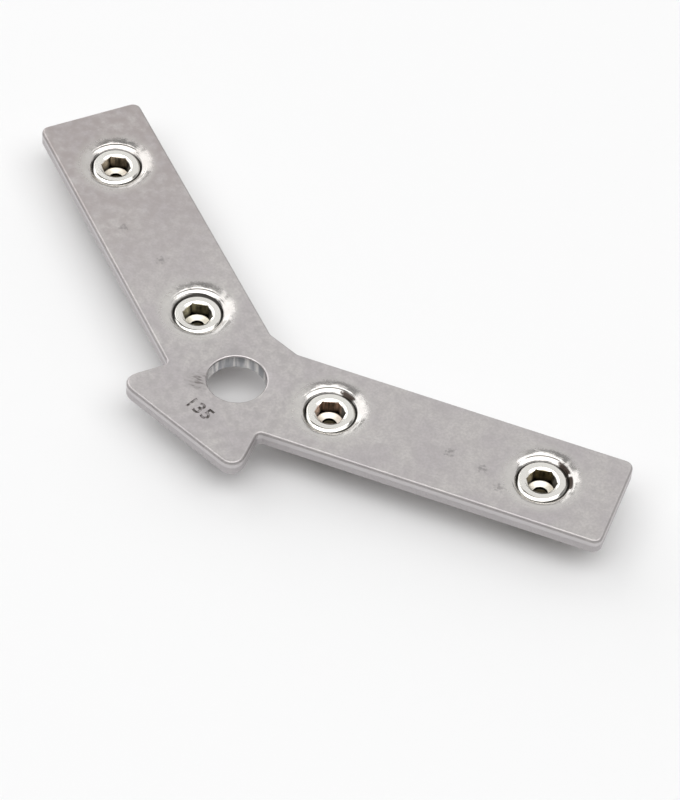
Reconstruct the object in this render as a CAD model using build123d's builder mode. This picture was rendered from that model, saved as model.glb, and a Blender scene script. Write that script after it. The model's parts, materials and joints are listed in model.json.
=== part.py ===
from build123d import *
from math import cos, radians, sin, tan
import os

# Corner bracket that joins two slotted extrusions at 135 degrees. A stamped steel
# plate lies in the slots of both, and four socket set screws in burred, tapped
# holes jack it up against the slot lips.
#
# Millimetres. The origin is on the corner hole's axis, at the bearing face that
# meets the slot lips. +X runs along the right arm, +Z leaves the bearing face,
# and the left arm lies corner_angle round from the right one.

# Extrusions that the bracket joins
extrusion_width = 20.0
corner_angle = 135.0
stop_clearance = 0.1

# Plate
sheet = 1.5
arm_length = 36.0
arm_width = 10.0
arm_end_radius = 0.8
elbow_radius = 1.2
relief_radius = 0.5
web_depth = 0.7
web_blend_radius = 1.0
edge_roll = 0.25
edge_break = 0.1
corner_hole_diameter = 5.4
corner_hole_break = 0.2

# Set screws and where they stand along each arm
screw_diameter = 5.0
thread_depth = 0.4
screw_length = 4.0
first_screw = 9.0
screw_spacing = 20.0
running_clearance = 0.05
socket_across_flats = 2.5
socket_depth = 1.55
socket_mouth_diameter = 3.1
pilot_diameter = 1.4
pilot_depth = 0.5
drill_point_angle = 120.0
cup_diameter = 2.4
cup_rim = 0.15
cup_angle = 120.0

# How deep each screw's top is set, and the turn of its socket in degrees
screw_settings = {
    "right_inner": (0.3, 20),
    "right_outer": (0.3, 11),
    "left_inner": (0.5, 12),
    "left_outer": (0.3, 14),
}

# Burr that carries each screw's thread
burr_height = 2.0
burr_wall = 0.85
burr_root = 0.35
burr_lip_chamfer = 0.2
burr_entry_width = 1.9
burr_entry_depth = 1.0

half_angle = radians(corner_angle / 2)
screw_radius = screw_diameter / 2
root_radius = screw_radius - thread_depth
bore_radius = screw_radius + running_clearance
burr_radius = bore_radius + burr_wall
burr_bottom = -sheet - burr_height


def along_bisector(distance):
    """Point in the bearing face on the line that halves the corner."""
    return distance * cos(half_angle), distance * sin(half_angle)


def arm_direction(heading):
    """Unit vector along an arm."""
    return Vector(cos(radians(heading)), sin(radians(heading)))


# The extrusions are cut square and touch at their inner edges, which puts their
# ends this far along the arms. The elbow's shoulders stop just short of them.
extrusion_end = extrusion_width / 2 / tan(half_angle)
shoulder = extrusion_end - stop_clearance
elbow_reach = extrusion_width / 2
side = arm_width / 2

# The elbow's outer edge is square to the bisector, through both of its corners,
# and the inner corner is filled by a web that is parallel to it.
elbow_front = elbow_reach * sin(half_angle) - shoulder * cos(half_angle)
web_front = side / sin(half_angle) + web_depth
web_end = (web_front - side * sin(half_angle)) / cos(half_angle)

bisector_normal = Vector(-sin(half_angle), cos(half_angle))
bisector_plane = Plane(
    origin=(0, 0, 0),
    x_dir=(cos(half_angle), sin(half_angle), 0),
    z_dir=(bisector_normal.X, bisector_normal.Y, 0),
)

screw_seats = {
    f"{arm}_{place}": arm_direction(heading) * distance
    for arm, heading in (("right", 0), ("left", corner_angle))
    for place, distance in (
        ("inner", first_screw),
        ("outer", first_screw + screw_spacing),
    )
}


def section_plane(seat):
    """Upright plane through a screw's axis: x is the radius, y is the height."""
    return Plane(origin=seat, x_dir=(1, 0, 0), z_dir=(0, -1, 0))


def near(points, tolerance=0.01):
    """Filter for vertices or edges whose centre lies at one of the points."""
    spots = [Vector(*point) for point in points]
    return lambda shape: any((shape.center() - spot).length < tolerance for spot in spots)


def both_arms(distance, offset):
    """A point on the right arm and its mirror image on the left arm."""
    right = Vector(distance, offset)
    across = right.dot(bisector_normal)
    return [right, right - bisector_normal * (2 * across)]


os.makedirs("parts", exist_ok=True)

with BuildPart() as bracket_plate:
    # Outline: the right half, mirrored in the bisector
    with BuildSketch():
        with BuildLine():
            Polyline(
                along_bisector(web_front),
                (web_end, side),
                (arm_length, side),
                (arm_length, -side),
                (shoulder, -side),
                (shoulder, -elbow_reach),
                along_bisector(-elbow_front),
                close=True,
            )
        make_face()
        mirror(about=bisector_plane)
        arm_ends = both_arms(arm_length, side) + both_arms(arm_length, -side)
        fillet(vertices().filter_by(near(arm_ends)), radius=arm_end_radius)
        fillet(vertices().filter_by(near(both_arms(shoulder, -elbow_reach))), radius=elbow_radius)
        fillet(vertices().filter_by(near(both_arms(shoulder, -side))), radius=relief_radius)
        fillet(vertices().filter_by(near(both_arms(web_end, side))), radius=web_blend_radius)
    extrude(amount=-sheet)

    # The punch rolls the top edge over and leaves the lower one nearly sharp
    fillet(faces().sort_by(Axis.Z)[-1].outer_wire().edges(), radius=edge_roll)
    chamfer(faces().sort_by(Axis.Z)[0].outer_wire().edges(), length=edge_break)

    # Burrs stand down from the plate under each screw
    for seat in screw_seats.values():
        with BuildSketch(section_plane(seat)):
            with BuildLine():
                Polyline(
                    (bore_radius, -sheet),
                    (burr_radius + burr_root, -sheet),
                    (burr_radius, -sheet - burr_root),
                    (burr_radius, burr_bottom + burr_lip_chamfer),
                    (burr_radius - burr_lip_chamfer, burr_bottom),
                    (bore_radius, burr_bottom),
                    close=True,
                )
            make_face()
        revolve(axis=Axis(seat, (0, 0, 1)))

    # Each hole rolls in from the bearing face to the tapping size
    for seat in screw_seats.values():
        with BuildSketch(section_plane(seat)):
            with BuildLine():
                mouth = Line((0, 0), (root_radius + burr_entry_width, 0))
                EllipticalCenterArc(
                    (root_radius + burr_entry_width, -burr_entry_depth),
                    burr_entry_width,
                    burr_entry_depth,
                    start_angle=90,
                    arc_size=90,
                )
                Polyline(
                    (root_radius, -burr_entry_depth),
                    (root_radius, burr_bottom),
                    (0, burr_bottom),
                    mouth @ 0,
                )
            make_face()
        revolve(axis=Axis(seat, (0, 0, 1)), mode=Mode.SUBTRACT)

    # and is then opened to clear the crests of the screw's thread
    with Locations(*screw_seats.values()):
        Hole(bore_radius)

    # Plain hole at the corner, with both rims broken
    Hole(corner_hole_diameter / 2)
    hole_rims = edges().filter_by(GeomType.CIRCLE).filter_by(
        lambda rim: abs(rim.radius - corner_hole_diameter / 2) < 0.01 and rim.is_closed
    )
    chamfer(hole_rims, length=corner_hole_break)

bracket_plate.part.label = "bracket_plate"
export_step(bracket_plate.part, "parts/bracket_plate.step")

# Set screw: socket end up, cup point down
socket_radius = socket_across_flats / 2
mouth_radius = socket_mouth_diameter / 2
pilot_radius = pilot_diameter / 2
cup_radius = cup_diameter / 2


def cone_depth(radius, included_angle):
    """Depth of a cone from its rim to its point."""
    return radius / tan(radians(included_angle / 2))


for place, seat in screw_seats.items():
    screw_recess, socket_turn = screw_settings[place]
    screw_top = -screw_recess
    screw_tip = screw_top - screw_length
    socket_floor = screw_top - socket_depth
    pilot_floor = socket_floor - pilot_depth

    with BuildPart() as set_screw:
        with BuildSketch(section_plane(seat)):
            with BuildLine():
                Polyline(
                    (0, screw_top),
                    (root_radius, screw_top),
                    (screw_radius, screw_top - thread_depth),
                    (screw_radius, screw_tip + screw_radius - cup_radius),
                    (cup_radius, screw_tip),
                    (cup_radius - cup_rim, screw_tip),
                    (0, screw_tip + cone_depth(cup_radius - cup_rim, cup_angle)),
                    close=True,
                )
            make_face()
        revolve(axis=Axis(seat, (0, 0, 1)))

        # Broached hexagon
        with BuildSketch(Plane(origin=seat + Vector(0, 0, screw_top))):
            RegularPolygon(socket_radius, 6, major_radius=False, rotation=socket_turn)
        extrude(amount=-socket_depth, mode=Mode.SUBTRACT)

        # Countersunk mouth, and the drilled pilot hole in the socket's floor
        with BuildSketch(section_plane(seat)):
            with BuildLine():
                Polyline(
                    (0, screw_top),
                    (mouth_radius, screw_top),
                    (0, screw_top - cone_depth(mouth_radius, drill_point_angle)),
                    close=True,
                )
            make_face()
            with BuildLine():
                Polyline(
                    (0, socket_floor),
                    (pilot_radius, socket_floor),
                    (pilot_radius, pilot_floor),
                    (0, pilot_floor - cone_depth(pilot_radius, drill_point_angle)),
                    close=True,
                )
            make_face()
        revolve(axis=Axis(seat, (0, 0, 1)), mode=Mode.SUBTRACT)

    name = f"{place}_set_screw"
    set_screw.part.label = name
    export_step(set_screw.part, f"parts/{name}.step")
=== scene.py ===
"""Looks of a corner bracket that joins two slotted extrusions at 135 degrees.

The plate and its set screws are modelled in millimetres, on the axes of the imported
model, and each piece is brought down to metres when its shape is done.
"""
import json
from math import cos, pi, radians, sin, sqrt, tan

import bpy
from mathutils import Euler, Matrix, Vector


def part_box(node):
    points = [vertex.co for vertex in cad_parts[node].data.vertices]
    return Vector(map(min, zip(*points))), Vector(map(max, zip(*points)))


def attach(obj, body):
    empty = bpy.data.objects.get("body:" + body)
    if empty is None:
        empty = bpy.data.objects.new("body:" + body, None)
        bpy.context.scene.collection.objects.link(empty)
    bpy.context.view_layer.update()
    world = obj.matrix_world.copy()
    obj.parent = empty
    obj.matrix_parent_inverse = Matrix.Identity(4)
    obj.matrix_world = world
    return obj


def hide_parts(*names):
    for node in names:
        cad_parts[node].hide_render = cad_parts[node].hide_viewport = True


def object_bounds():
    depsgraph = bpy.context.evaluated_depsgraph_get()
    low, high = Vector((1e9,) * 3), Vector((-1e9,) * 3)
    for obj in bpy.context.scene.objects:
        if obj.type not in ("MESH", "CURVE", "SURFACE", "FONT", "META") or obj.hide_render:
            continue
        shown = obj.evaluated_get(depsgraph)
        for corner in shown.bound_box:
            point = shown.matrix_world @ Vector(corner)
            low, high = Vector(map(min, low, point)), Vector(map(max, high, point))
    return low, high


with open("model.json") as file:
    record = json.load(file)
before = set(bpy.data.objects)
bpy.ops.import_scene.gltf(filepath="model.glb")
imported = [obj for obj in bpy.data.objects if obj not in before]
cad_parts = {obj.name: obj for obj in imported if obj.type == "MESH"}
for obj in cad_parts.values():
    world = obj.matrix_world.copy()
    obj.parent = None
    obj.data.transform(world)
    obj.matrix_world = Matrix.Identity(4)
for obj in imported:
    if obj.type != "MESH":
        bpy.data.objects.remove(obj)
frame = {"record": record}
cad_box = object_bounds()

MM = 0.001
UP = Vector((0, 0, 1))

# ---------------------------------------------------------------- sizes, in millimetres

CORNER_ANGLE = 135.0
SHEET = 1.5
ARM_END_RADIUS = 0.8
ELBOW_RADIUS = 1.2
RELIEF_RADIUS = 0.5
WEB_RADIUS = 1.0
WEB_DEPTH = 0.7
ELBOW_REACH = 10.0
ARM_WIDTH = 10.0
EDGE_ROLL = 0.25
EDGE_BREAK = 0.08
HOLE_RIM = 0.2

PITCH = 0.8
TAP_MAJOR = 2.5
TAP_MINOR = 2.1
THREAD_GAP = 0.05
CREST_FLAT = 0.1
THREAD_FLANK = radians(30)

# Height of both threads' crests at no turn, from the screw's face, so that they mesh
THREAD_START = -0.2

# Threads run at least this far past a shape, to heights where no crest or root begins
THREAD_SPARE = 1.03

BURR_WALL = 0.85
BURR_ROOT = 0.35
BURR_LIP = 0.2
BORE_CHAMFER = 0.15
ENTRY_WIDTH = 1.9
ENTRY_DEPTH = 1.0

SOCKET_FLATS = 2.5
SOCKET_DEPTH = 1.5
SOCKET_MOUTH = 1.55
SOCKET_DISH = 0.2
PILOT_RADIUS = 0.68
PILOT_DEPTH = 0.5
DRILL_POINT = radians(60)
FACE_RADIUS = 2.1
FACE_ROUND = 0.06
CUP_RADIUS = 1.2
CUP_RIM = 0.15

# The turn of each screw's socket, in degrees
SOCKET_TURNS = {
    "right_inner": 20,
    "right_outer": 11,
    "left_inner": 12,
    "left_outer": 14,
}

# Colour of the oil and dirt in each socket, with painted reflections in it
SOCKET_DIRT_AND_REFLECTION = {
    "right_inner": (0.64, 0.45, 0.36),
    "right_outer": (0.28, 0.23, 0.12),
    "left_inner": (0.46, 0.43, 0.30),
    "left_outer": (0.58, 0.50, 0.40),
}

# The plain angle mark on the elbow
ANGLE_MARK = (-1.75, -4.6)
MARK_HEIGHT = 1.25
MARK_DEPTH = 0.1
MARK_TAPER = 0.4
MARK_SPACING = 1.1
CAPITAL_SHARE = 0.7

# A dark scratched smudge beside the corner hole
SMUDGE = (-3.05, -1.6)

# The colour is painted a little darker and browner towards this end of the left arm, as shade
LEFT_ARM_END = (-25.5, 25.5)

# Dirt caught in the mouths of the right arm's screw holes
GRIME_SPOTS = ((9.9, 2.5), (30.4, 2.25), (31.5, 0.8))

# Small dark scuffs on the arms
SCUFFS = ((-16.6, 13.1), (-11.8, 10.7), (20.5, -0.4), (23.8, -1.05), (25.8, -2.5))

# Steps round a full turn, and round small arcs
ROUND_STEPS = 96
ARC_STEPS = 6
ENTRY_STEPS = 20
ROLL_STEPS = 5
BREAK_STEPS = 2
LIP_STEPS = 4
FACE_STEPS = 3

# Faces that meet at less than this many degrees are shaded as one curve
PLATE_SMOOTH_UNDER = 30
SCREW_SMOOTH_UNDER = 20

# How far a cutting shape runs past what it cuts
PAST_FACE = 1.0
PAST_BORE = 0.2
PAST_THREAD = 0.3
PAST_SOCKET = 0.5

# The drill stays this far inside the socket's flats and floor
DRILL_INSIDE = 0.02
DRILL_BELOW = 0.01

# Points nearer than these are taken as the same place, as lying on a face, and as one vertex
SAME_PLACE = 0.01
ON_FACE = 0.001
MERGE_UNDER = 0.0001
LAST_MERGE_UNDER = 0.001

# ---------------------------------------------------------------- what the frame says


def node_box(node):
    """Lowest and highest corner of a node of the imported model, in millimetres."""
    low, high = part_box(node)
    return low / MM, high / MM


def mount(name):
    """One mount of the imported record."""
    return next(m for m in frame["record"]["mounts"] if m["name"] == name)


plate_low, plate_high = node_box("bracket_plate")
arm_length = plate_high.x
burr_bottom = plate_low.z
shoulder = mount("right_stop")["pos_m"][0] / MM
hole_radius = mount("corner_hole")["dims"]["r_mm"]
side = ARM_WIDTH / 2
half_angle = radians(CORNER_ANGLE / 2)
bisector = Vector((cos(half_angle), sin(half_angle), 0))

screw_tops = {}
for place in SOCKET_TURNS:
    low, high = node_box(f"{place}_set_screw")
    screw_tops[place] = Vector(((low.x + high.x) / 2, (low.y + high.y) / 2, high.z))
    screw_length = high.z - low.z

# ---------------------------------------------------------------- modelling by hand


def select_only(piece):
    bpy.ops.object.select_all(action="DESELECT")
    piece.select_set(True)
    bpy.context.view_layer.objects.active = piece


def start_point(name):
    """A new mesh of one vertex at the origin, open in edit mode."""
    bpy.ops.object.select_all(action="DESELECT")
    bpy.ops.mesh.primitive_plane_add(size=1)
    piece = bpy.context.object
    piece.name = name
    piece.data.name = name
    bpy.ops.object.mode_set(mode="EDIT")
    bpy.ops.mesh.select_mode(type="VERT")
    bpy.ops.mesh.merge(type="CENTER")
    return piece


def draw(points):
    """Move the chosen vertex to the first point and extrude it through the others."""
    bpy.ops.transform.translate(value=points[0])
    for here, there in zip(points, points[1:]):
        bpy.ops.mesh.extrude_region_move(TRANSFORM_OT_translate={"value": there - here})


def choose(piece, kind, test):
    """In edit mode, select only the vertices, edges or faces whose middle passes the test."""
    bpy.ops.mesh.select_mode(type=kind)
    bpy.ops.mesh.select_all(action="DESELECT")
    bpy.ops.object.mode_set(mode="OBJECT")
    mesh = piece.data
    corners = mesh.vertices
    if kind == "VERT":
        for vertex in corners:
            vertex.select = test(vertex.co)
    elif kind == "EDGE":
        for edge in mesh.edges:
            ends = [corners[i].co for i in edge.vertices]
            edge.select = test(*ends)
    else:
        for face in mesh.polygons:
            face.select = test(face.center, face.normal)
    bpy.ops.object.mode_set(mode="EDIT")


def close_up(merge_under=MERGE_UNDER):
    """Merge doubled vertices and turn every face outwards, then leave edit mode."""
    bpy.ops.mesh.select_all(action="SELECT")
    bpy.ops.mesh.remove_doubles(threshold=merge_under)
    bpy.ops.mesh.dissolve_degenerate(threshold=merge_under)
    bpy.ops.mesh.select_all(action="SELECT")
    bpy.ops.mesh.normals_make_consistent(inside=False)
    bpy.ops.object.mode_set(mode="OBJECT")


def turned(name, profile):
    """A solid turned on the z axis from a profile of (radius, height) points."""
    piece = start_point(name)
    draw([Vector((radius, 0, height)) for radius, height in profile])
    bpy.ops.mesh.select_all(action="SELECT")
    bpy.ops.mesh.spin(steps=ROUND_STEPS, angle=2 * pi, center=(0, 0, 0), axis=UP)
    close_up()
    return piece


def arc(centre, radii, start, end, steps):
    """Points of an arc of (radius, height), from one angle to the other in degrees."""
    across, along = radii
    angles = [radians(start + (end - start) * i / steps) for i in range(steps + 1)]
    return [(centre[0] + across * cos(a), centre[1] + along * sin(a)) for a in angles]


def threaded_rod(name, root, crest, low, high):
    """A rod with a right-hand thread between two heights, with its end faces closed."""
    rise = (crest - root) * tan(THREAD_FLANK)
    half_flat = CREST_FLAT / 2
    turns_down = int(-low / PITCH) + 2
    turns = turns_down + int(high / PITCH) + 3
    start = THREAD_START - turns_down * PITCH
    rod = start_point(name)
    profile = (
        (root, -PITCH / 2),
        (root, -half_flat - rise),
        (crest, -half_flat),
        (crest, half_flat),
        (root, half_flat + rise),
        (root, PITCH / 2),
    )
    draw([Vector((radius, 0, start + height)) for radius, height in profile])
    bpy.ops.object.mode_set(mode="OBJECT")
    winding = rod.modifiers.new("winding", "SCREW")
    winding.axis = "Z"
    winding.angle = 2 * pi
    winding.screw_offset = PITCH
    winding.iterations = turns
    winding.steps = ROUND_STEPS
    winding.render_steps = ROUND_STEPS
    winding.use_merge_vertices = False
    bpy.ops.object.modifier_apply(modifier=winding.name)
    bpy.ops.object.mode_set(mode="EDIT")
    bpy.ops.mesh.select_all(action="SELECT")
    bpy.ops.mesh.remove_doubles(threshold=MERGE_UNDER)
    for height, below in ((low, True), (high, False)):
        bpy.ops.mesh.select_all(action="SELECT")
        bpy.ops.mesh.bisect(
            plane_co=(0, 0, height),
            plane_no=UP,
            use_fill=True,
            clear_inner=below,
            clear_outer=not below,
            threshold=MERGE_UNDER / 10,
        )
    close_up()
    return rod


def copy_to(piece, place, turn=0):
    """A copy with its own mesh, turned about z and moved to a place."""
    copy = piece.copy()
    copy.data = piece.data.copy()
    bpy.context.scene.collection.objects.link(copy)
    copy.location = place
    copy.rotation_euler = (0, 0, turn)
    select_only(copy)
    bpy.ops.object.transform_apply(location=True, rotation=True, scale=True)
    return copy


def combine(piece, tool, operation):
    """Join, cut or intersect a piece with a tool, and put the tool away."""
    select_only(piece)
    step = piece.modifiers.new("step", "BOOLEAN")
    step.operation = operation
    step.object = tool
    step.solver = "MANIFOLD"
    bpy.ops.object.modifier_apply(modifier=step.name)
    bpy.data.objects.remove(tool)


def finish_piece(piece, smooth_under):
    """Bring a piece down to metres and shade its curves smooth and its flats flat."""
    select_only(piece)

    # Faces of many sides are split first, or their slivers fold over where vertices are close
    bpy.ops.object.mode_set(mode="EDIT")
    bpy.ops.mesh.select_mode(type="FACE")
    bpy.ops.mesh.select_all(action="DESELECT")
    bpy.ops.mesh.select_face_by_sides(number=4, type="GREATER")
    bpy.ops.mesh.quads_convert_to_tris(quad_method="BEAUTY", ngon_method="BEAUTY")
    bpy.ops.mesh.select_mode(type="VERT")
    close_up(LAST_MERGE_UNDER)
    piece.scale = (MM, MM, MM)
    bpy.ops.object.transform_apply(location=True, rotation=True, scale=True)
    bpy.ops.object.shade_smooth_by_angle(angle=radians(smooth_under))
    flats = piece.modifiers.new("flats", "WEIGHTED_NORMAL")
    flats.keep_sharp = True
    flats.mode = "FACE_AREA"
    bpy.ops.object.modifier_apply(modifier=flats.name)


# ---------------------------------------------------------------- the stamped plate


def cut_back(radius, corner_angle):
    """How far a bevel runs along each edge to round a corner to a radius."""
    half = corner_angle / 2
    return radius * (1 / sin(half) - 1) / ((1 - sqrt(0.5)) * 2 * cos(half))


def round_corner(piece, place, radius, corner_angle=pi / 2):
    choose(piece, "VERT", lambda point: (point - place).length < SAME_PLACE)
    bpy.ops.mesh.bevel(
        affect="VERTICES",
        offset_type="OFFSET",
        offset=cut_back(radius, corner_angle),
        segments=ARC_STEPS,
        profile=0.5,
    )


def stamped_blank():
    """The flat blank: half of its outline, mirrored in the bisector and given thickness."""
    web_front = side / sin(half_angle) + WEB_DEPTH
    web_end = (web_front - side * sin(half_angle)) / cos(half_angle)
    elbow_front = ELBOW_REACH * sin(half_angle) - shoulder * cos(half_angle)
    web_corner = Vector((web_end, side, 0))
    elbow_tip = Vector((shoulder, -ELBOW_REACH, 0))
    relief = Vector((shoulder, -side, 0))
    arm_ends = [Vector((arm_length, side, 0)), Vector((arm_length, -side, 0))]

    front = bisector * web_front
    back = -bisector * elbow_front

    blank = start_point("bracket_plate_stamped")
    draw([front, web_corner, *arm_ends, relief, elbow_tip, back])
    bpy.ops.mesh.select_all(action="SELECT")
    bpy.ops.mesh.edge_face_add()
    for corner in arm_ends:
        round_corner(blank, corner, ARM_END_RADIUS)
    round_corner(blank, relief, RELIEF_RADIUS)
    round_corner(blank, elbow_tip, ELBOW_RADIUS, half_angle)
    round_corner(blank, web_corner, WEB_RADIUS, pi / 2 + half_angle)
    bpy.ops.object.mode_set(mode="OBJECT")

    # The mirror's x axis is square to the bisector
    fold = bpy.data.objects.new("fold", None)
    bpy.context.scene.collection.objects.link(fold)
    fold.rotation_euler = (0, 0, half_angle - pi / 2)
    bpy.context.view_layer.update()
    other_half = blank.modifiers.new("other_half", "MIRROR")
    other_half.mirror_object = fold
    other_half.merge_threshold = ON_FACE
    select_only(blank)
    bpy.ops.object.modifier_apply(modifier=other_half.name)
    bpy.data.objects.remove(fold)

    bpy.ops.object.mode_set(mode="EDIT")
    square = bisector.cross(UP)
    choose(blank, "EDGE", lambda a, b: max(abs(a.dot(square)), abs(b.dot(square))) < ON_FACE)
    bpy.ops.mesh.dissolve_edges(use_verts=False)
    bpy.ops.mesh.select_all(action="SELECT")
    bpy.ops.mesh.extrude_region_move(TRANSFORM_OT_translate={"value": -SHEET * UP})
    bpy.ops.mesh.select_all(action="SELECT")
    bpy.ops.mesh.normals_make_consistent(inside=False)

    # The punch rolls the top edge over and leaves the lower one nearly sharp
    for height, roll, steps in ((0, EDGE_ROLL, ROLL_STEPS), (-SHEET, EDGE_BREAK, BREAK_STEPS)):
        choose(blank, "EDGE", lambda a, b: max(abs(a.z - height), abs(b.z - height)) < ON_FACE)
        bpy.ops.mesh.bevel(
            affect="EDGES", offset_type="OFFSET", offset=roll, segments=steps, profile=0.5
        )
    close_up()
    return blank


def burr():
    """What the flow drill pushes down under a screw, from inside the sheet to its lip."""
    wall = TAP_MAJOR + BURR_WALL
    root = wall + BURR_ROOT
    lip = arc((wall - BURR_LIP, burr_bottom + BURR_LIP), (BURR_LIP, BURR_LIP), 0, -90, LIP_STEPS)
    return turned(
        "burr",
        [
            (0, -SHEET / 2),
            (root, -SHEET / 2),
            *arc((root, -SHEET - BURR_ROOT), (BURR_ROOT, BURR_ROOT), 90, 180, ARC_STEPS),
            *lip,
            (0, burr_bottom),
        ],
    )


def rolled_entry():
    """What is missing above and inside a burr: the mouth rolls in to the tapping size."""
    rim = TAP_MINOR + ENTRY_WIDTH
    below = burr_bottom - PAST_BORE
    return turned(
        "rolled_entry",
        [
            (0, PAST_FACE),
            (rim, PAST_FACE),
            *arc((rim, -ENTRY_DEPTH), (ENTRY_WIDTH, ENTRY_DEPTH), 90, 180, ENTRY_STEPS),
            (TAP_MINOR, burr_bottom + BORE_CHAMFER),
            (TAP_MINOR + BORE_CHAMFER + PAST_BORE, below),
            (0, below),
        ],
    )


def corner_hole():
    """The plain hole, with a rolled rim at each face."""
    rim = hole_radius + HOLE_RIM
    top = arc((rim, -HOLE_RIM), (HOLE_RIM, HOLE_RIM), 90, 180, LIP_STEPS)
    bottom = arc((rim, HOLE_RIM - SHEET), (HOLE_RIM, HOLE_RIM), 180, 270, LIP_STEPS)
    above = PAST_FACE
    below = -SHEET - PAST_FACE
    profile = [(0, above), (rim, above), *top, *bottom, (rim, below), (0, below)]
    return turned("corner_hole", profile)


def angle_mark():
    """The joint's angle in plain digits, as a punch that narrows downwards."""
    bpy.ops.object.select_all(action="DESELECT")
    bpy.ops.object.text_add()
    mark = bpy.context.object
    mark.data.body = f"{CORNER_ANGLE:.0f}"
    mark.data.size = MARK_HEIGHT / CAPITAL_SHARE
    mark.data.align_x = "CENTER"
    mark.data.align_y = "CENTER"
    mark.data.space_character = MARK_SPACING
    mark.data.extrude = MARK_DEPTH * (1 - MARK_TAPER)
    mark.data.bevel_depth = MARK_DEPTH * MARK_TAPER
    mark.data.bevel_resolution = 0
    bpy.ops.object.convert(target="MESH")
    bpy.ops.object.mode_set(mode="EDIT")
    close_up()
    mark.location = (*ANGLE_MARK, 0)
    mark.rotation_euler = (0, 0, half_angle - pi / 2)
    bpy.ops.object.transform_apply(location=True, rotation=True, scale=True)
    return mark


def stamped_plate():
    plate = stamped_blank()
    burr_shape = burr()
    entry_shape = rolled_entry()
    tap_ends = (burr_bottom - 2 * THREAD_SPARE, 2 * THREAD_SPARE)
    tap = threaded_rod("tap", TAP_MINOR - THREAD_GAP, TAP_MAJOR, *tap_ends)
    for place, top in screw_tops.items():
        seat = Vector((top.x, top.y, 0))
        combine(plate, copy_to(burr_shape, seat), "UNION")
        combine(plate, copy_to(entry_shape, seat), "DIFFERENCE")
        combine(plate, copy_to(tap, top, radians(SOCKET_TURNS[place])), "DIFFERENCE")
    combine(plate, corner_hole(), "DIFFERENCE")
    combine(plate, angle_mark(), "DIFFERENCE")
    for tool in (burr_shape, entry_shape, tap):
        bpy.data.objects.remove(tool)
    finish_piece(plate, PLATE_SMOOTH_UNDER)
    return plate


# ---------------------------------------------------------------- the set screws


def set_screw():
    """An M5 set screw with its top at the origin: socket end up, cup point down."""
    crest = TAP_MAJOR - THREAD_GAP
    outside = TAP_MAJOR + PAST_THREAD
    ends = (-screw_length - THREAD_SPARE, THREAD_SPARE)
    screw = threaded_rod("set_screw", TAP_MINOR - 2 * THREAD_GAP, crest, *ends)
    rounded = (FACE_ROUND, FACE_ROUND)
    rim = arc((FACE_RADIUS - FACE_ROUND, -FACE_ROUND), rounded, 90, 45, FACE_STEPS)
    cup = CUP_RADIUS - CUP_RIM
    envelope = turned(
        "envelope",
        [
            (0, 0),
            *rim,
            (outside, FACE_RADIUS - outside),
            (outside, -screw_length + outside - CUP_RADIUS),
            (CUP_RADIUS, -screw_length),
            (cup, -screw_length),
            (0, -screw_length + cup / tan(DRILL_POINT)),
        ],
    )
    combine(screw, envelope, "INTERSECT")

    # One of the hexagon's corners lies on the x axis until the screw is turned
    bpy.ops.object.select_all(action="DESELECT")
    bpy.ops.mesh.primitive_cylinder_add(
        vertices=6,
        radius=SOCKET_FLATS / 2 / cos(pi / 6),
        depth=2 * SOCKET_DEPTH,
        rotation=(0, 0, pi / 6),
    )
    hexagon = bpy.context.object
    bpy.ops.object.transform_apply(location=True, rotation=True, scale=True)
    combine(screw, hexagon, "DIFFERENCE")

    # One tool for the countersunk mouth, the dished floor and the pilot hole
    dish = SOCKET_FLATS / 2 - DRILL_INSIDE
    drill = turned(
        "drill",
        [
            (0, PAST_SOCKET),
            (SOCKET_MOUTH + PAST_SOCKET * tan(DRILL_POINT), PAST_SOCKET),
            (PILOT_RADIUS, -(SOCKET_MOUTH - PILOT_RADIUS) / tan(DRILL_POINT)),
            (PILOT_RADIUS, -SOCKET_DEPTH / 2),
            (dish, -SOCKET_DEPTH / 2),
            (dish, -SOCKET_DEPTH - DRILL_BELOW),
            (PILOT_RADIUS, -SOCKET_DEPTH - SOCKET_DISH),
            (PILOT_RADIUS, -SOCKET_DEPTH - PILOT_DEPTH),
            (0, -SOCKET_DEPTH - PILOT_DEPTH - PILOT_RADIUS / tan(DRILL_POINT)),
        ],
    )
    combine(screw, drill, "DIFFERENCE")
    return screw


# ---------------------------------------------------------------- finishes

# Colours of the plate
MATT_DARK = (0.640, 0.600, 0.607, 1)
MATT_PALE = (0.725, 0.693, 0.675, 1)
GRAIN_GREY = (0.54, 0.515, 0.51)
MOTTLE_GREY = (0.53, 0.50, 0.50)
SPECKLE_GREY = (0.50, 0.475, 0.47)
# Painted shade, darker and browner towards the left arm's end
LEFT_ARM_SHADE_GREY = (0.49, 0.44, 0.43)
# Painted shade on the plate's outer edges, dulling the rolled edge's highlight
EDGE_SHADE_GREY = (0.40, 0.38, 0.38)
SMUDGE_GREY = (0.16, 0.14, 0.13)
SCUFF_GREY = (0.30, 0.28, 0.28)
MARK_BLACK = (0.09, 0.08, 0.07)
SCRATCH_BRIGHT = (0.78, 0.76, 0.74)
PIT_GREY = (0.25, 0.23, 0.22)
ROLLED_BRIGHT = (0.78, 0.76, 0.72)
SHEARED_GREY = (0.66, 0.635, 0.64)
TORN_GREY = (0.58, 0.555, 0.56)
BORE_DARK = (0.40, 0.41, 0.43, 1)
BORE_BRIGHT = (0.90, 0.88, 0.86, 1)
CAKED_DIRT = (0.03, 0.02, 0.015)
# Painted shade of a small step in each screw hole's mouth
STEP_SHADE_GREY = (0.08, 0.07, 0.06)
# Painted shade in the gap between each screw and its tapped hole
PLATE_GAP_SHADE = (0.02, 0.018, 0.015)

# Colours of the screws
NICKEL_DULL = (0.90, 0.88, 0.82, 1)
NICKEL_BRIGHT = (0.98, 0.96, 0.92, 1)
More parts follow.
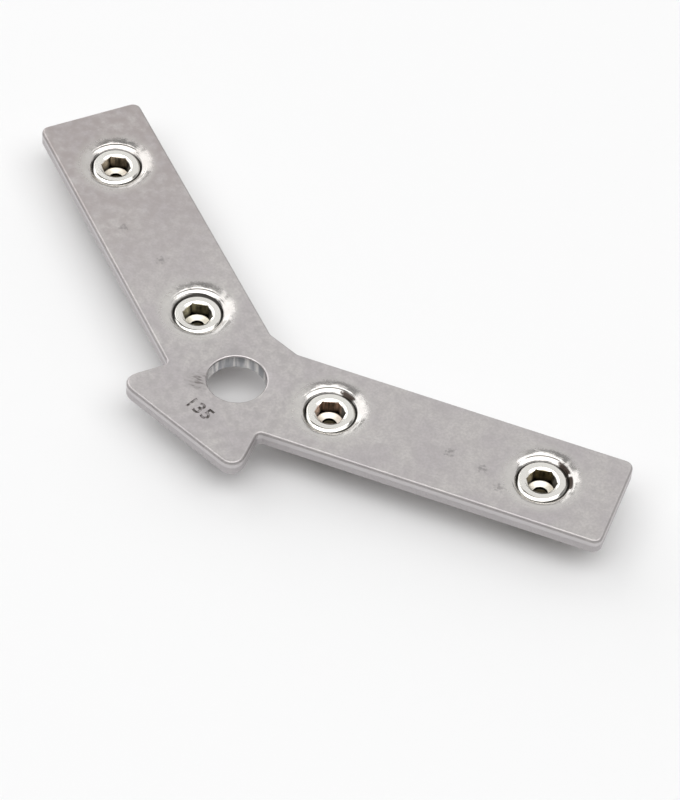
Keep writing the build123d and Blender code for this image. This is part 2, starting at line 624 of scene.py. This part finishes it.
# Painted shade in the sockets, at their foot and on one side
SOCKET_SHADE_BLACK = (0.015, 0.012, 0.008)
SOCKET_FLOOR_BRIGHT = (0.95, 0.90, 0.80)
# Painted shade in the pilot hole
PILOT_SHADE_BLACK = (0.03, 0.025, 0.015)
# Painted shade on the screw's thread, in the gap to the plate
THREAD_GAP_SHADE = (0.03, 0.026, 0.02)

# Turn in degrees and fineness of each set of hairline scratches
SCRATCHES = ((35, 9.0), (-62, 7.0), (100, 11.0))

# From a screw's middle to that of a short dark line painted in its mouth, as the shade of a small
# step
STEP_SHADE_OFFSET = (-0.85, 2.57)

PLATE_RELIEF = 0.012
SCREW_RELIEF = 0.005

# Radians of tool mark to each millimetre outwards, in the drilled mouths and on the screws' faces
DRILL_RINGS = 26
FACING_RINGS = 45


class Amount:
    """A number that varies over a surface. Arithmetic on it adds Math nodes."""

    def __init__(self, finish, socket):
        self.finish = finish
        self.socket = socket

    def math(self, operation, *others):
        sockets = {i: value for i, value in enumerate((self, *others))}
        return self.finish.node("Math", {"operation": operation}, sockets)

    def __add__(self, other):
        return self.math("ADD", other)

    def __sub__(self, other):
        return self.math("SUBTRACT", other)

    def __rsub__(self, other):
        return self * -1 + other

    def __mul__(self, other):
        return self.math("MULTIPLY", other)

    __radd__ = __add__
    __rmul__ = __mul__

    def ramp(self, start, end):
        """0 before start, 1 after end, and smooth between them."""
        sockets = {"Value": self, "From Min": start, "From Max": end}
        return self.finish.node("MapRange", {"interpolation_type": "SMOOTHSTEP"}, sockets)


class Finish:
    """A material on one Principled shader, with its pattern in millimetres."""

    def __init__(self, name, constants, centre=(0, 0, 0)):
        self.material = bpy.data.materials.new(name)
        self.material.use_nodes = True
        self.tree = self.material.node_tree
        self.shader = self.tree.nodes["Principled BSDF"]
        for socket, value in constants.items():
            self.shader.inputs[socket].default_value = value
        place = self.node("TexCoord", {}, {}, "Object")
        shift = tuple(-c for c in centre)
        sockets = {"Vector": place, "Location": shift, "Scale": (1 / MM,) * 3}
        self.place = self.node("Mapping", {}, sockets)

    def node(self, kind, settings, sockets, output=None):
        """Add a node: its settings first, then its sockets' values or links."""
        made = self.tree.nodes.new("ShaderNode" + kind)
        for setting, value in settings.items():
            setattr(made, setting, value)
        for name, value in sockets.items():
            if isinstance(name, int):
                socket = made.inputs[name]
            else:
                socket = next(s for s in made.inputs if s.name == name and s.enabled)
            if isinstance(value, Amount):
                self.tree.links.new(value.socket, socket)
            else:
                socket.default_value = value
        if output:
            return Amount(self, made.outputs[output])
        return Amount(self, next(s for s in made.outputs if s.enabled))

    def set(self, name, amount):
        self.tree.links.new(amount.socket, self.shader.inputs[name])

    def noise(self, scale, detail=2, place=None):
        sockets = {"Vector": place or self.place, "Scale": scale, "Detail": detail}
        return self.node("TexNoise", {}, sockets)

    def drawn_out(self, scale, turn=0):
        """The place, turned by degrees and scaled, for a pattern that runs one way."""
        sockets = {"Vector": self.place, "Rotation": (0, 0, radians(turn)), "Scale": scale}
        return self.node("Mapping", {}, sockets)

    def blend(self, factor, first, second):
        """A colour between two, which may themselves be blends."""
        sockets = {"Factor": factor, "A": first, "B": second}
        return self.node("Mix", {"data_type": "RGBA"}, sockets)

    def along(self, axis):
        """The place's own X, Y or Z."""
        return self.node("SeparateXYZ", {}, {"Vector": self.place}, axis)

    def distance(self, point):
        """Distance from an upright line through a point."""
        flat = self.node("VectorMath", {"operation": "MULTIPLY"}, {0: self.place, 1: (1, 1, 0)})
        sockets = {0: flat, 1: (point[0], point[1], 0)}
        return self.node("VectorMath", {"operation": "DISTANCE"}, sockets, "Value")

    def nearest(self, points):
        """Distance from the nearest of the upright lines through some points."""
        shortest = self.distance(points[0])
        for point in points[1:]:
            shortest = shortest.math("MINIMUM", self.distance(point))
        return shortest

    def coats(self, colour, coats):
        """A colour with others laid over it in turn, each by its own amount."""
        for amount, paint in coats:
            colour = self.blend(amount, colour, (*paint, 1))
        return colour

    def bump(self, height, distance):
        self.set("Normal", self.node("Bump", {}, {"Height": height, "Distance": distance}))


def plate_finish():
    """Tumbled sheet steel: matt faces, bright rolled holes and sheared edges."""
    steel = Finish("stamped_steel", {"Metallic": 1.0})
    height = steel.along("Z")
    to_hole = steel.distance((0, 0))
    to_left_end = steel.distance(LEFT_ARM_END)
    to_screw = steel.nearest([(top.x, top.y) for top in screw_tops.values()])
    to_step_shade = steel.nearest(
        [(top.x + STEP_SHADE_OFFSET[0], top.y + STEP_SHADE_OFFSET[1]) for top in screw_tops.values()]
    )

    rolled = to_screw.ramp(4.3, 2.9)
    # Painted shade in the gap between screw and tapped hole, darkest near the top
    plate_gap_shade = to_screw.ramp(2.64, 2.57) * height.ramp(-0.42, -0.56)
    plate_gap_shade = plate_gap_shade * (height.ramp(-1.35, -0.95) * 0.45 + height.ramp(-2.6, -1.8) * 0.5)
    top_side = height.ramp(-0.9, -0.8)
    away = to_screw.ramp(4.0, 4.2) * to_hole.ramp(3.2, 3.3)
    # The plate's outer edges, away from the holes: rougher, and darkened with painted shade to dull
    # the rolled edge's highlight
    edge = away * height.ramp(-0.005, -0.05) * height.ramp(-1.49, -1.45)
    sheared = away * height.ramp(-0.24, -0.32) * height.ramp(-1.47, -1.42)
    torn = sheared * height.ramp(-0.6, -0.85)
    burnished = to_hole.ramp(2.95, 2.85) * height.ramp(-0.1, -0.2) * height.ramp(-1.49, -1.45)

    # Clouding, fine grain, hairline scratches and small pits
    clouds = steel.noise(0.25, 4)
    grain = steel.noise(11.0, 3)
    scratches = None
    for turn, fineness in SCRATCHES:
        line = steel.noise(1.0, 2, steel.drawn_out((0.25, fineness, 1), turn)).ramp(0.655, 0.70)
        scratches = line if scratches is None else scratches.math("MAXIMUM", line)
    worn = steel.noise(0.45, 3).ramp(0.5, 0.62)
    scratches = scratches * worn * height.ramp(-0.2, -0.05)
    pits = steel.noise(4.5, 2).ramp(0.70, 0.78) * worn
    streaks = steel.drawn_out((5, 5, 0.4))
    streak = steel.noise(1.0, 3, streaks)
    band = steel.noise(0.35, 2, streaks)
    tearing = streak * torn

    strokes = steel.drawn_out((1.1, 4.5, 1), -20)
    smudge = (steel.distance(SMUDGE) + steel.noise(2.2, 5) * 2.4).ramp(2.55, 1.4) * top_side
    smudge = smudge * (steel.noise(1.0, 4, strokes).ramp(0.44, 0.60) * 0.8 + 0.2)
    marked = steel.distance(ANGLE_MARK).ramp(2.3, 2.2) * height.ramp(-0.02, -0.05) * top_side
    mottle = steel.noise(1.1, 5)
    speckle = steel.noise(4.0, 5)
    uneven = steel.noise(3.0, 5) * 2.4
    scuffed = (steel.nearest(SCUFFS) + uneven).ramp(1.75, 1.15) * height.ramp(-0.2, -0.05)
    grimy = (steel.nearest(GRIME_SPOTS) + uneven * 0.5).ramp(1.6, 1.2) * to_screw.ramp(2.79, 2.69)
    # A short dark line of painted shade where each mouth shows a small step
    step_shade = to_screw.ramp(2.72, 2.75) * to_screw.ramp(2.86, 2.83) * to_step_shade.ramp(1.9, 1.2)
    # Painted shade, darker and browner towards the left arm's end
    left_arm_shade = to_left_end.ramp(30, 3)

    mottled = mottle.ramp(0.4, 0.65) * (to_hole.ramp(13, 7) * 0.25 + 0.4)
    burnish = steel.blend(band.ramp(0.4, 0.62), BORE_DARK, BORE_BRIGHT)
    colour = steel.coats(
        steel.blend(clouds.ramp(0.35, 0.65), MATT_DARK, MATT_PALE),
        (
            (grain * 0.35, GRAIN_GREY),
            (mottled, MOTTLE_GREY),
            (speckle.ramp(0.4, 0.6) * 0.35, SPECKLE_GREY),
            (left_arm_shade * mottle.ramp(0.1, 0.7), LEFT_ARM_SHADE_GREY),
            (edge * 0.5, EDGE_SHADE_GREY),
            (smudge * 0.7, SMUDGE_GREY),
            (scuffed * 0.6, SCUFF_GREY),
            (marked * speckle.ramp(0.40, 0.54) * 0.85, MARK_BLACK),
            (scratches * 0.2, SCRATCH_BRIGHT),
            (pits * 0.5, PIT_GREY),
            (rolled * 0.6, ROLLED_BRIGHT),
            (sheared, SHEARED_GREY),
            (torn, TORN_GREY),
        ),
    )
    colour = steel.coats(
        steel.blend(burnished, colour, burnish),
        (
            (grimy * top_side * 0.97, CAKED_DIRT),
            (step_shade * top_side * 0.9, STEP_SHADE_GREY),
            (plate_gap_shade, PLATE_GAP_SHADE),
        ),
    )
    steel.set("Base Color", colour)

    roughness = grain * 0.10 + clouds * 0.08 + 0.27
    roughness = roughness * (1 - rolled * 0.4) * (1 - burnished * 0.5) + edge * 0.22 + torn * 0.1
    roughness = roughness + pits * 0.1 + smudge * 0.1 + plate_gap_shade * 0.3
    steel.set("Roughness", roughness)

    dents = steel.noise(0.9, 1) * rolled
    drawn = (to_screw * DRILL_RINGS).math("SINE") * to_screw.ramp(3.1, 2.7) * mottle.ramp(0.35, 0.6)
    steel.bump(
        grain * 0.25 - scratches * 0.35 - pits * 1.2 + tearing * 8 + dents * 6 + drawn * 0.5,
        PLATE_RELIEF * MM,
    )
    return steel.material


def screw_finish(place, top):
    """Bright nickel, with oil, dirt and painted reflections in the socket, painted shade at the
    socket's foot, on one side and in its pilot hole, and painted shade on the thread where it meets
    the plate, thickest at its top.
    """
    nickel = Finish(f"bright_nickel_{place}", {"Metallic": 1.0}, top)
    radius = nickel.distance((0, 0))
    height = nickel.along("Z")
    above_cup = height.ramp(-3.2, -3.0)
    socket = radius.ramp(1.52, 1.46) * height.ramp(-0.1, -0.16) * above_cup
    socket_floor = radius.ramp(1.3, 1.2) * height.ramp(-1.47, -1.51) * above_cup
    # Painted shade in the pilot hole
    pilot = radius.ramp(0.70, 0.68) * height.ramp(-1.66, -1.71) * above_cup
    # Painted shade at the foot of the socket's walls
    socket_foot_shade = socket * height.ramp(-0.7, -1.5)
    # Painted shade on the screw's chamfer and thread, in the gap to the plate, thickest at its top
    thread_gap_shade = radius.ramp(1.9, 1.95) * height.ramp(-0.30, -0.38)
    gap_shade_depth = height.ramp(-1.0, -0.65) * 0.45 + height.ramp(-2.4, -1.2) * 0.55
    thread_gap_shade = thread_gap_shade.math("MAXIMUM", radius.ramp(2.2, 2.26)) * gap_shade_depth

    grain = nickel.noise(7.0, 3)
    streaks = nickel.noise(1.0, 3, nickel.drawn_out((6, 6, 0.5)))
    # Oil and dirt on the socket's walls, with painted reflections in them
    dirt_and_reflection = SOCKET_DIRT_AND_REFLECTION[place]
    dark_dirt_and_reflection = tuple(c / 3 for c in dirt_and_reflection)
    # Painted shade: the socket's walls darken towards one side
    shade = nickel.along("X") + streaks * 0.5
    wall = nickel.blend(streaks.ramp(0.3, 0.6), (*dark_dirt_and_reflection, 1), (*dirt_and_reflection, 1))
    wall = nickel.coats(wall, ((shade.ramp(0.7, 1.1), SOCKET_SHADE_BLACK),))
    colour = nickel.coats(
        nickel.blend(socket, nickel.blend(grain, NICKEL_DULL, NICKEL_BRIGHT), wall),
        (
            (socket_foot_shade, SOCKET_SHADE_BLACK),
            (socket_floor, SOCKET_FLOOR_BRIGHT),
            (pilot, PILOT_SHADE_BLACK),
            (thread_gap_shade * 0.93, THREAD_GAP_SHADE),
        ),
    )
    nickel.set("Base Color", colour)

    roughness = grain * 0.08 + 0.18 + socket * 0.08 + socket_floor * 0.04
    nickel.set("Roughness", roughness + thread_gap_shade * 0.35)

    turning = (radius * FACING_RINGS).math("SINE") * radius.ramp(1.55, 1.6)
    nickel.bump(grain * 0.4 + turning * 0.3 + streaks * socket * 3, SCREW_RELIEF * MM)
    return nickel.material


# ---------------------------------------------------------------- putting it together

plate = stamped_plate()
plate.data.materials.clear()
plate.data.materials.append(plate_finish())
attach(plate, "plate")
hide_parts("bracket_plate")

screw_shape = set_screw()
for place, top in screw_tops.items():
    screw = copy_to(screw_shape, top, radians(SOCKET_TURNS[place]))
    screw.name = f"{place}_set_screw_threaded"
    screw.data.name = screw.name
    finish_piece(screw, SCREW_SMOOTH_UNDER)
    screw.data.materials.clear()
    screw.data.materials.append(screw_finish(place, top))
    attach(screw, f"{place}_screw")
    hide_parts(f"{place}_set_screw")
bpy.data.objects.remove(screw_shape)

# ---------------------------------------------------------------- studio

FLOOR_SIZE = 8.0
FLOOR_PALENESS = 0.92
FLOOR_ROUGHNESS = 0.7
WORLD_LEVEL = 0.16
LAMP_DISTANCE = 2.0

# Each lamp's name, direction from the plate, width and height in metres, and brightness
SOFTBOXES = (
    ("overhead", (0.10, -0.22, 0.97), 4.4, 1.7, 1.95),
    ("left", (-0.78, 0.30, 0.55), 1.55, 2.05, 1.28),
    ("low", (-0.62, 0.72, 0.26), 0.9, 0.6, 1.2),
    ("behind", (0.14, 0.79, 0.59), 3.0, 2.1, 0.62),
)

CAMERA_PLACE = Vector((71.5, -198.9, 240.3)) * MM
CAMERA_TARGET = Vector((9.39, 1.38, 0)) * MM
CAMERA_ROLL = radians(4.81)
LENS_LENGTH = 160.8
SENSOR_WIDTH = 36


def paper_floor():
    bpy.ops.object.select_all(action="DESELECT")
    bpy.ops.mesh.primitive_plane_add(size=FLOOR_SIZE, location=(0, 0, cad_box[0].z))
    floor = bpy.context.object
    floor.name = "floor"
    pale = (*(FLOOR_PALENESS,) * 3, 1)
    paper = Finish("floor_paper", {"Base Color": pale, "Roughness": FLOOR_ROUGHNESS})
    floor.data.materials.append(paper.material)


def softbox(name, direction, width, height, brightness):
    """A rectangular lamp facing the plate. Brightness 1 looks white in a mirror."""
    light = bpy.data.lights.new(name, "AREA")
    light.shape = "RECTANGLE"
    light.size = width
    light.size_y = height
    light.energy = brightness * pi * width * height
    lamp = bpy.data.objects.new(name, light)
    bpy.context.scene.collection.objects.link(lamp)
    away = Vector(direction).normalized()
    lamp.location = away * LAMP_DISTANCE
    lamp.rotation_euler = away.to_track_quat("Z", "Y").to_euler()


def studio():
    world = bpy.data.worlds.new("studio")
    bpy.context.scene.world = world
    world.use_nodes = True
    sky = world.node_tree.nodes["Background"]
    sky.inputs["Color"].default_value = (1, 1, 1, 1)
    sky.inputs["Strength"].default_value = WORLD_LEVEL
    for name, direction, width, height, brightness in SOFTBOXES:
        softbox(name, direction, width, height, brightness)


def camera():
    """Looks down on the bearing face from in front of the right arm."""
    lens = bpy.data.cameras.new("camera")
    lens.lens = LENS_LENGTH
    lens.sensor_width = SENSOR_WIDTH
    view = bpy.data.objects.new("camera", lens)
    bpy.context.scene.collection.objects.link(view)
    view.location = CAMERA_PLACE
    roll = Euler((0, 0, CAMERA_ROLL)).to_quaternion()
    turn = (CAMERA_TARGET - CAMERA_PLACE).to_track_quat("-Z", "Y") @ roll
    view.rotation_euler = turn.to_euler()
    bpy.context.scene.camera = view


paper_floor()
studio()
camera()
bpy.context.scene.view_settings.view_transform = "Standard"
